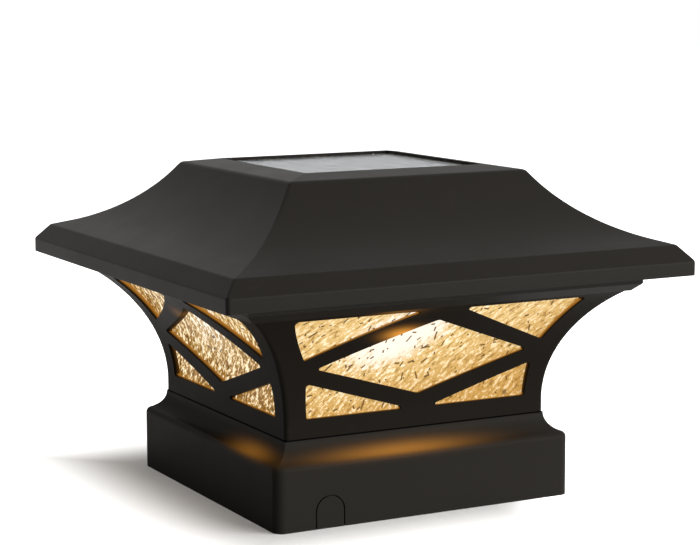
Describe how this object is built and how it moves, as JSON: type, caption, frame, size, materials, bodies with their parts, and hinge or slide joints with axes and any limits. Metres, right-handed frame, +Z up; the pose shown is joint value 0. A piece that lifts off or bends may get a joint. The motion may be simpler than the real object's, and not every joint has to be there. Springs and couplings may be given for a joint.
{
  "type": "deck post cap light",
  "caption": "Square solar light that caps a deck post: skirt with post socket, flared lattice lantern with bent amber panes, and a lift-off pagoda roof with solar panel.",
  "frame": {"origin": "centre of the skirt's lower edge", "axes": "+Z up; -Y is the front, with the wire knock-out"},
  "size_m": [0.178, 0.178, 0.1177],
  "materials": {
    "black_plastic": "satin charcoal black, faintly grained",
    "dark_plastic": "matte",
    "white_plastic": "gloss white",
    "diffuser_plastic": "frosted",
    "amber_pane": "hammered amber, lit from behind",
    "screw_steel": "plated",
    "sealant": "matte",
    "gasket_rubber": "matte",
    "board_laminate": "solder mask",
    "solar_silicon": "dark blue silicon",
    "clear_resin": "clear cast resin",
    "led_lamp": "clear lens over phosphor",
    "battery_sleeve": "plain sleeve",
    "contact_metal": "nickel plated",
    "component_epoxy": "moulded epoxy",
    "lead_sleeve": "insulated wire"
  },
  "bodies": {
    "base": {"base_skirt": "black_plastic", "reflector_plate": "white_plastic", "lantern_frame": "black_plastic", "frame_screws": "screw_steel", "lens_front": "amber_pane", "lens_right": "amber_pane", "lens_back": "amber_pane", "lens_left": "amber_pane"},
    "roof": {"roof_shell": "black_plastic", "panel_sealant": "sealant", "solar_backboard": "board_laminate", "solar_cells": "solar_silicon", "solar_cover": "clear_resin", "soffit_tray": "black_plastic", "tray_gasket": "gasket_rubber", "tray_screws": "screw_steel", "led_board": "board_laminate", "leds": "led_lamp", "led_diffuser": "diffuser_plastic", "led_board_screws": "screw_steel", "battery_box": "dark_plastic", "battery_box_screws": "screw_steel", "battery_cell": "battery_sleeve", "battery_contact": "contact_metal", "battery_spring": "contact_metal", "switch_body": "dark_plastic", "circuit_board": "board_laminate", "circuit_board_screws": "screw_steel", "board_components": "component_epoxy", "panel_leads": "lead_sleeve", "led_leads": "lead_sleeve", "battery_leads": "lead_sleeve"},
    "battery_cover": {"battery_cover": "black_plastic"},
    "switch_knob": {"switch_knob": "dark_plastic"}
  },
  "joints": [
    {"name": "roof_lift", "type": "slide", "parent": "base", "child": "roof", "axis": [0, 0, 1], "range_m": [0, 0.08]},
    {"name": "battery_cover_off", "type": "slide", "parent": "roof", "child": "battery_cover", "axis": [0, 0, -1], "range_m": [0, 0.02]},
    {"name": "switch_slide", "type": "slide", "parent": "roof", "child": "switch_knob", "axis": [1, 0, 0], "range_m": [0, 0.003]}
  ]
}
